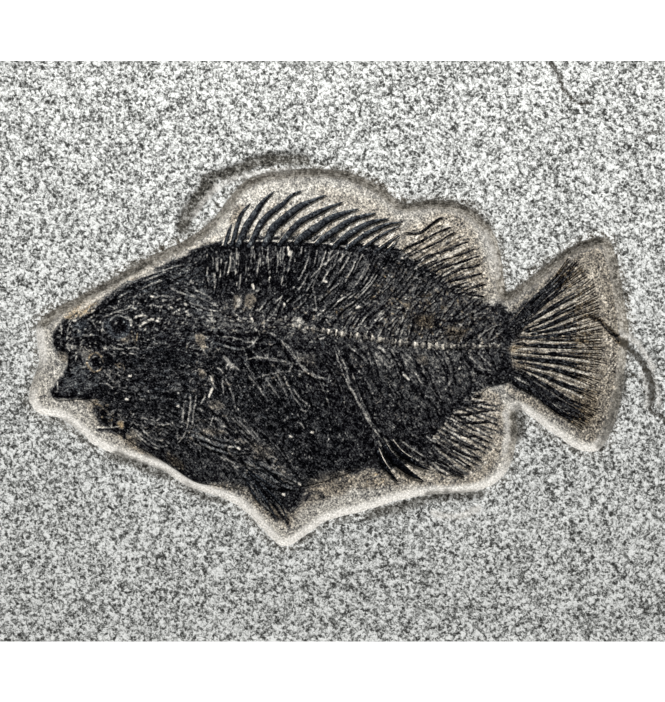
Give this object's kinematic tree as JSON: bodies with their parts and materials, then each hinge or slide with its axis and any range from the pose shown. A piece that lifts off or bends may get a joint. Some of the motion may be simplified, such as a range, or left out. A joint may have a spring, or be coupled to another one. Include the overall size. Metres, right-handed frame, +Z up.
{
  "type": "fossil fish slab",
  "caption": "Pale limestone slab with a dark spiny-finned fossil fish fixed in a shallow prepared hollow, lying face up.",
  "frame": {"origin": "middle of the slab's flat underside", "axes": "+X from the fish's head to its tail, +Y from its belly to its back, +Z up out of the face that shows the fish"},
  "size_m": [0.18, 0.154, 0.014],
  "materials": {
    "limestone": "matt fine-grained stone, sawn at its edges",
    "fossil_bone": "near-black mineralised bone with a dull gloss",
    "fin_membrane": "dark fin rays in an olive-brown stain"
  },
  "bodies": {
    "root": {"slab": "limestone", "skull": "fossil_bone", "gill_cover": "fossil_bone", "lower_jaw": "fossil_bone", "trunk": "fossil_bone", "backbone": "fossil_bone", "dorsal_spine_01": "fossil_bone", "dorsal_spine_02": "fossil_bone", "dorsal_spine_03": "fossil_bone", "dorsal_spine_04": "fossil_bone", "dorsal_spine_05": "fossil_bone", "dorsal_spine_06": "fossil_bone", "dorsal_spine_07": "fossil_bone", "dorsal_spine_08": "fossil_bone", "dorsal_spine_09": "fossil_bone", "dorsal_spine_10": "fossil_bone", "anal_spine_1": "fossil_bone", "anal_spine_2": "fossil_bone", "anal_spine_3": "fossil_bone", "soft_dorsal_fin": "fin_membrane", "soft_anal_fin": "fin_membrane", "tail_fin": "fin_membrane", "pelvic_fin": "fin_membrane"}
  },
  "joints": []
}
